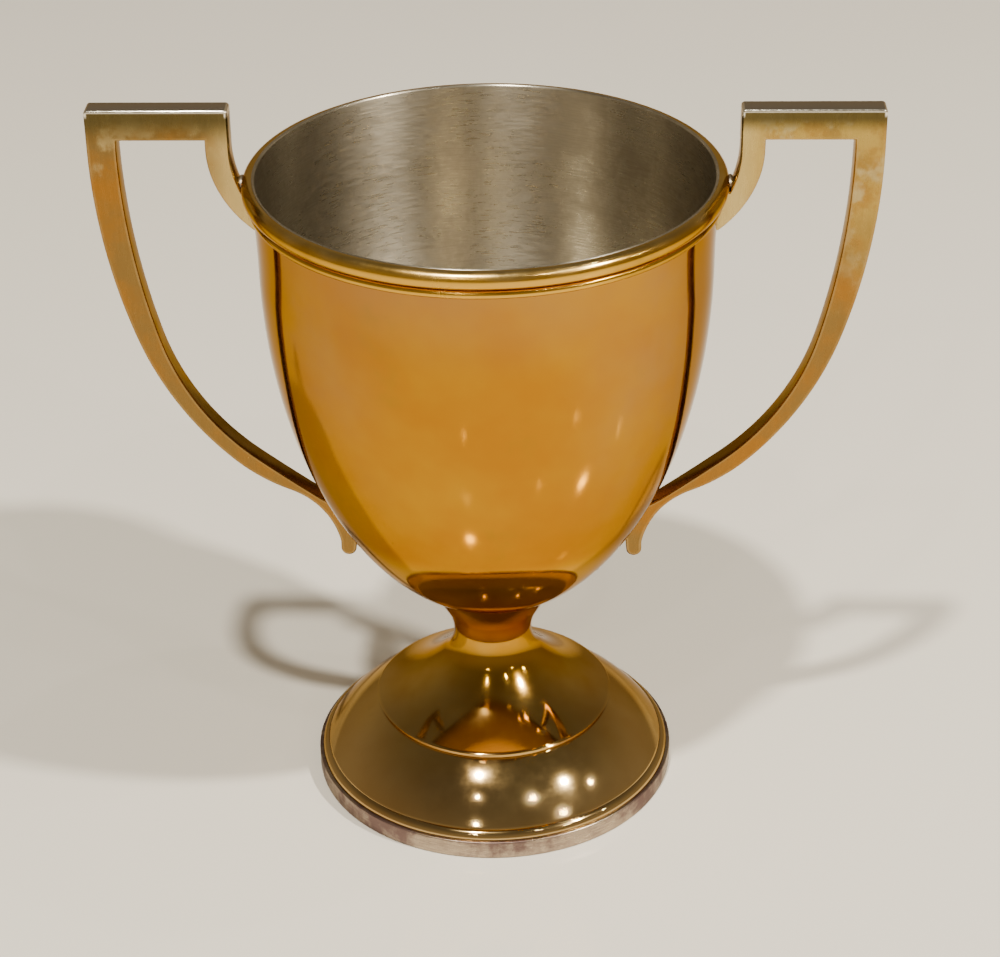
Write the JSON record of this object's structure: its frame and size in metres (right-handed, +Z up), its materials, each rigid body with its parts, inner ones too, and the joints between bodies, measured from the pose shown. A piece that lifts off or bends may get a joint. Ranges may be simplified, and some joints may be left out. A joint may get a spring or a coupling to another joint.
{
  "type": "cup trophy",
  "caption": "Two-handled cup trophy: spun gilt bowl with a beaded rim on a trumpet stem and a stepped, domed foot, with flat-cut angular handles soldered to its sides.",
  "frame": {"origin": "middle of the face that the foot's silver band rests on", "axes": "+Z up along the axis of the cup; +X through the right-hand handle, so both handles lie in the XZ plane"},
  "size_m": [0.1698, 0.1044, 0.167],
  "materials": {
    "gilt_bowl": "polished gilding with tarnish, brushed nickel inside",
    "gilt_rim": "bright polished gilding",
    "gilt_handle": "satin gilding, worn towards silver at the top",
    "gilt_foot": "polished gilding, browner than the bowl",
    "silver_band": "tarnished silver plate",
    "solder": "bright solder under thin gilding",
    "steel_fixing": "plain zinc-grey steel"
  },
  "bodies": {
    "root": {"bowl": "gilt_bowl", "rim_bead": "gilt_rim", "rim_fillet_wire": "gilt_rim", "stem_and_step": "gilt_foot", "foot_dome": "gilt_foot", "foot_bead": "gilt_foot", "foot_rim_band": "silver_band", "handle_right": "gilt_handle", "handle_left": "gilt_handle", "upper_solder_right": "solder", "upper_solder_left": "solder", "lower_solder_right": "solder", "lower_solder_left": "solder", "bowl_stud": "steel_fixing", "clamp_washer": "steel_fixing", "stud_nut": "steel_fixing"}
  },
  "joints": []
}
